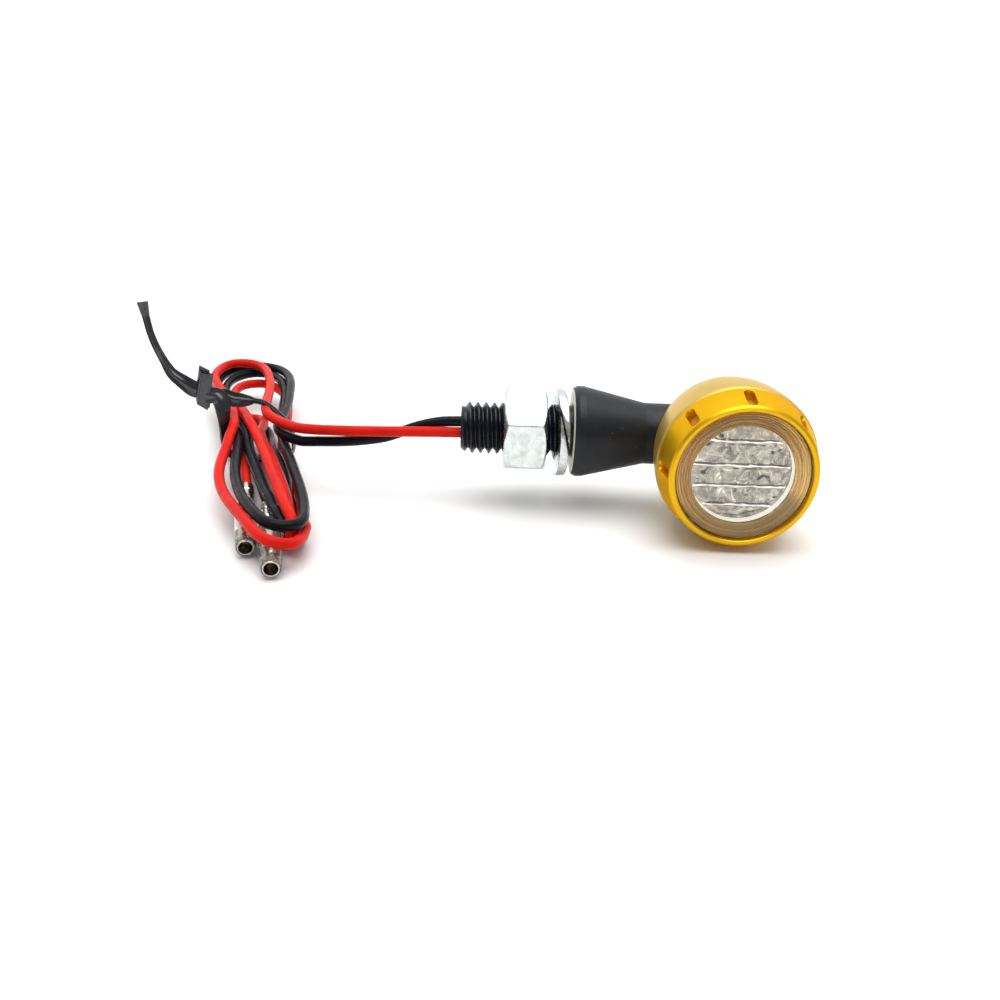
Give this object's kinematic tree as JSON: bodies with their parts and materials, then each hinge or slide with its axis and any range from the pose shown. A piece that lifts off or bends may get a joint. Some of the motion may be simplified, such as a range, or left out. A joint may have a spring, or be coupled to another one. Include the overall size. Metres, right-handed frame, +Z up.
{
  "type": "motorcycle turn signal indicator",
  "caption": "LED bullet turn signal: metallic head and clear lens on a flexible rubber stem, hollow threaded stud with nut and spring washer, and a tied hank of leads.",
  "frame": {"origin": "middle of the base of the box round the indicator without its leads: the level of the head's lowest point", "axes": "+X along the stud's axis towards the head, -Y the way the lens looks, +Z up"},
  "size_m": [0.1032, 0.0788, 0.0252],
  "materials": {
    "gold": "satin gold anodised",
    "clear": "clear polycarbonate",
    "silver": "bright metallised",
    "board": "white solder mask",
    "led": "amber phosphor",
    "component": "matt",
    "rubber": "matt moulded",
    "black_plastic": "semi-gloss moulded",
    "plate": "pale grey fibre",
    "zinc": "bright zinc plated",
    "tinned": "tinned brass",
    "red_pvc": "satin PVC",
    "black_pvc": "satin PVC",
    "tie": "satin ribbon",
    "vinyl": "clear vinyl"
  },
  "bodies": {
    "root": {"mounting_stud": "black_plastic", "end_plate": "plate", "red_lead_in_stud": "red_pvc", "black_lead_in_stud": "black_pvc", "red_wire": "red_pvc", "black_wire": "black_pvc", "wire_hank": "black_pvc", "twist_tie": "tie", "red_terminal": "tinned", "black_terminal": "tinned", "red_terminal_sleeve": "vinyl", "black_terminal_sleeve": "vinyl"},
    "nut": {"hex_nut": "zinc"},
    "washer": {"spring_washer": "zinc"},
    "stem": {"stem_boot": "rubber"},
    "head": {"head_housing": "gold", "bezel_ring": "gold", "lens": "clear", "lens_seal": "rubber", "inner_optic": "clear", "reflector": "silver", "led_board": "board", "led_1": "led", "led_2": "led", "led_3": "led", "resistor": "component", "diode": "component", "stem_insert": "zinc", "lock_washer": "zinc", "insert_nut": "zinc", "red_lead_in_head": "red_pvc", "black_lead_in_head": "black_pvc"}
  },
  "joints": [
    {"name": "nut_travel", "type": "slide", "parent": "root", "child": "nut", "axis": [1, 0, 0], "range_m": [-0.0064, 0.00035]},
    {"name": "washer_slide", "type": "slide", "parent": "root", "child": "washer", "axis": [1, 0, 0], "range_m": [-0.0003, 0.0004]},
    {"name": "stem_flex_up", "type": "hinge", "parent": "root", "child": "stem", "pos_m": [-0.0019, 0.00458, 0.0116], "axis": [0, -1, 0], "range_deg": [-15, 15], "stiffness_Nm_per_rad": 0.2, "deforming": ["stem_boot"]},
    {"name": "stem_flex_side", "type": "hinge", "parent": "stem", "child": "head", "pos_m": [-0.0019, 0.00458, 0.0116], "axis": [0, 0, 1], "range_deg": [-15, 15], "stiffness_Nm_per_rad": 0.2}
  ]
}
